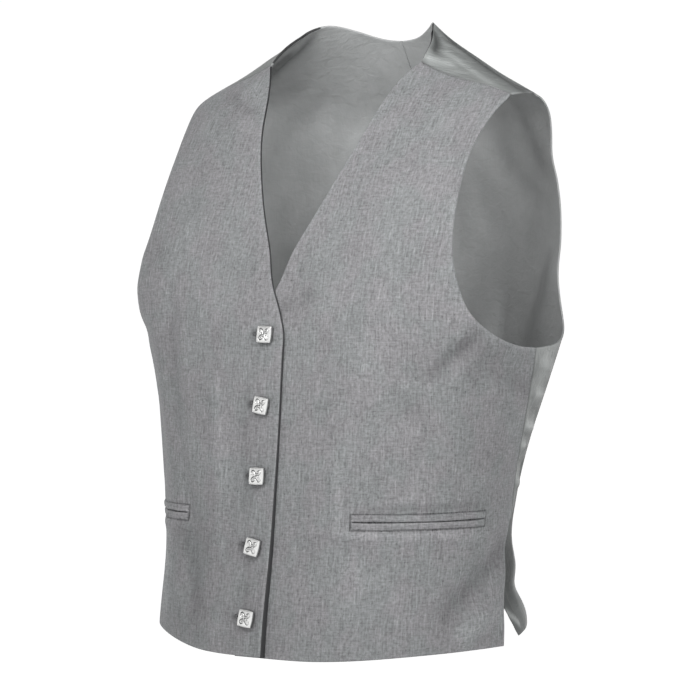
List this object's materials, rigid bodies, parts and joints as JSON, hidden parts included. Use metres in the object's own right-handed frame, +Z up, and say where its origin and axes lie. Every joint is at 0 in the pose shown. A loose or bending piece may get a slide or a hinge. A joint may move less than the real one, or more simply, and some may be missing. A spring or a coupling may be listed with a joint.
{
  "type": "kilt waistcoat",
  "caption": "Sleeveless V-neck waistcoat for a kilt outfit, filled out as worn: grey wool fronts with jetted pockets, satin back, square metal buttons.",
  "frame": {"origin": "midway between the two neck points, on the shoulder ridge, where the wearer's shoulders hold the garment", "axes": "+Z up, the fronts face -Y, the wearer's left is +X"},
  "size_m": [0.3983, 0.2993, 0.5756],
  "materials": {
    "front_wool": "mid-grey wool cloth with a fine plain weave, slubs in both directions and a soft matt nap",
    "back_satin": "grey lining satin with a soft sheen and light puckers along its seams",
    "button_metal": "bright silver-coloured cast metal with a stippled ground and a raised knot"
  },
  "bodies": {
    "root": {"front_right": "front_wool", "front_left": "front_wool", "back_left": "back_satin", "back_right": "back_satin", "pocket_left_upper_jet": "front_wool", "pocket_left_lower_jet": "front_wool", "pocket_right_upper_jet": "front_wool", "pocket_right_lower_jet": "front_wool", "button_1": "button_metal", "button_2": "button_metal", "button_3": "button_metal", "button_4": "button_metal", "button_5": "button_metal"}
  },
  "joints": []
}
